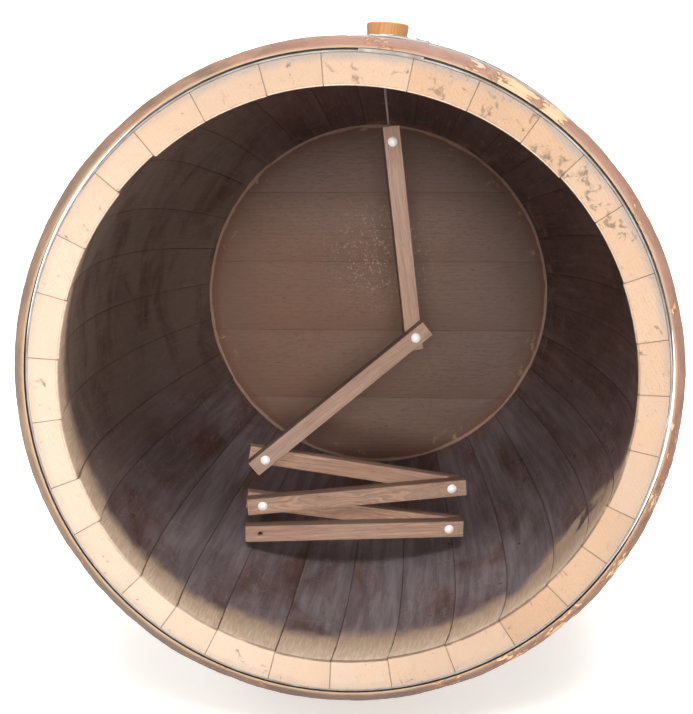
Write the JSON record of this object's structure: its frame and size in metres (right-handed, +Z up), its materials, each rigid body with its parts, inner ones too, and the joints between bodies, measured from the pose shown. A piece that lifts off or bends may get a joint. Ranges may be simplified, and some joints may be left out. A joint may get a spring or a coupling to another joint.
{
  "type": "open-ended oak barrel with infusion chain",
  "caption": "Oak wine barrel on its side with one head removed, showing a folding chain of oak slats hung on a cord from the bung.",
  "frame": {"origin": "lowest point of the barrel's bilge at mid length, where it rests on the ground", "axes": "+Z up, +Y along the barrel's axis from the open end to the closed head, +X to the right as seen from the open end"},
  "size_m": [0.6858, 0.95, 0.7157],
  "materials": {
    "stave_oak": "satin",
    "head_oak": "matt",
    "dowel_wood": "matt",
    "hoop_steel": "satin",
    "rivet_steel": "satin",
    "chestnut_bark": "matt",
    "bung_wood": "satin",
    "eye_steel": "satin",
    "cord_fibre": "matt",
    "slat_oak": "matt",
    "peg_plastic": "satin"
  },
  "bodies": {
    "barrel": {"bung_stave": "stave_oak", "stave_02": "stave_oak", "stave_03": "stave_oak", "stave_04": "stave_oak", "stave_05": "stave_oak", "stave_06": "stave_oak", "stave_07": "stave_oak", "stave_08": "stave_oak", "stave_09": "stave_oak", "stave_10": "stave_oak", "stave_11": "stave_oak", "stave_12": "stave_oak", "stave_13": "stave_oak", "stave_14": "stave_oak", "stave_15": "stave_oak", "stave_16": "stave_oak", "stave_17": "stave_oak", "stave_18": "stave_oak", "stave_19": "stave_oak", "stave_20": "stave_oak", "stave_21": "stave_oak", "stave_22": "stave_oak", "stave_23": "stave_oak", "stave_24": "stave_oak", "stave_25": "stave_oak", "stave_26": "stave_oak", "stave_27": "stave_oak", "stave_28": "stave_oak", "stave_29": "stave_oak", "stave_30": "stave_oak", "stave_31": "stave_oak", "head_board_1": "head_oak", "head_board_2": "head_oak", "head_board_3": "head_oak", "head_board_4": "head_oak", "head_board_5": "head_oak", "head_dowels": "dowel_wood", "front_head_hoop": "hoop_steel", "rear_head_hoop": "hoop_steel", "quarter_hoops": "hoop_steel", "front_bilge_hoop": "hoop_steel", "rear_bilge_hoop": "hoop_steel", "hoop_rivets": "rivet_steel", "front_chestnut_hoop": "chestnut_bark", "rear_chestnut_hoop": "chestnut_bark"},
    "bung": {"bung": "bung_wood", "bung_eye": "eye_steel"},
    "cord": {"cord": "cord_fibre"},
    "link_1": {"slat_1": "slat_oak", "pin_1": "peg_plastic"},
    "link_2": {"slat_2": "slat_oak", "pin_2": "peg_plastic"},
    "link_3": {"slat_3": "slat_oak", "pin_3": "peg_plastic"},
    "link_4": {"slat_4": "slat_oak", "pin_4": "peg_plastic"},
    "link_5": {"slat_5": "slat_oak", "pin_5": "peg_plastic"},
    "link_6": {"slat_6": "slat_oak", "pin_6": "peg_plastic"}
  },
  "joints": [
    {"name": "bung_pull", "type": "slide", "parent": "barrel", "child": "bung", "axis": [0.0698, 0, 0.9976], "range_m": [0, 0.06]},
    {"name": "cord_swing", "type": "hinge", "parent": "bung", "child": "cord", "pos_m": [0.0213, 0, 0.64766], "axis": [1, 0, 0], "range_deg": [-30, 0]},
    {"name": "peg_1_turn", "type": "hinge", "parent": "cord", "child": "link_1", "pos_m": [0.02925, 0, 0.57207], "axis": [0.1734, -0.9835, -0.0523], "range_deg": [-2.5, 0]},
    {"name": "peg_2_turn", "type": "hinge", "parent": "link_1", "child": "link_2", "pos_m": [0.05628, 0.01761, 0.33072], "axis": [0.1734, -0.9835, -0.0523], "range_deg": [-80, 0]},
    {"name": "peg_3_turn", "type": "hinge", "parent": "link_2", "child": "link_3", "pos_m": [-0.13148, -0.00735, 0.17769], "axis": [0.1734, -0.9835, -0.0523], "range_deg": [0, 35]},
    {"name": "peg_4_turn", "type": "hinge", "parent": "link_3", "child": "link_4", "pos_m": [0.1039, 0.03651, 0.13338], "axis": [0.1734, -0.9835, -0.0523], "range_deg": [-5, 0]},
    {"name": "peg_5_turn", "type": "hinge", "parent": "link_4", "child": "link_5", "pos_m": [-0.13554, -0.00487, 0.11768], "axis": [0.1734, -0.9835, -0.0523], "range_deg": [0, 6]},
    {"name": "peg_6_turn", "type": "hinge", "parent": "link_5", "child": "link_6", "pos_m": [0.10089, 0.03886, 0.07923], "axis": [0.1734, -0.9835, -0.0523], "range_deg": [-2.5, 0]}
  ]
}
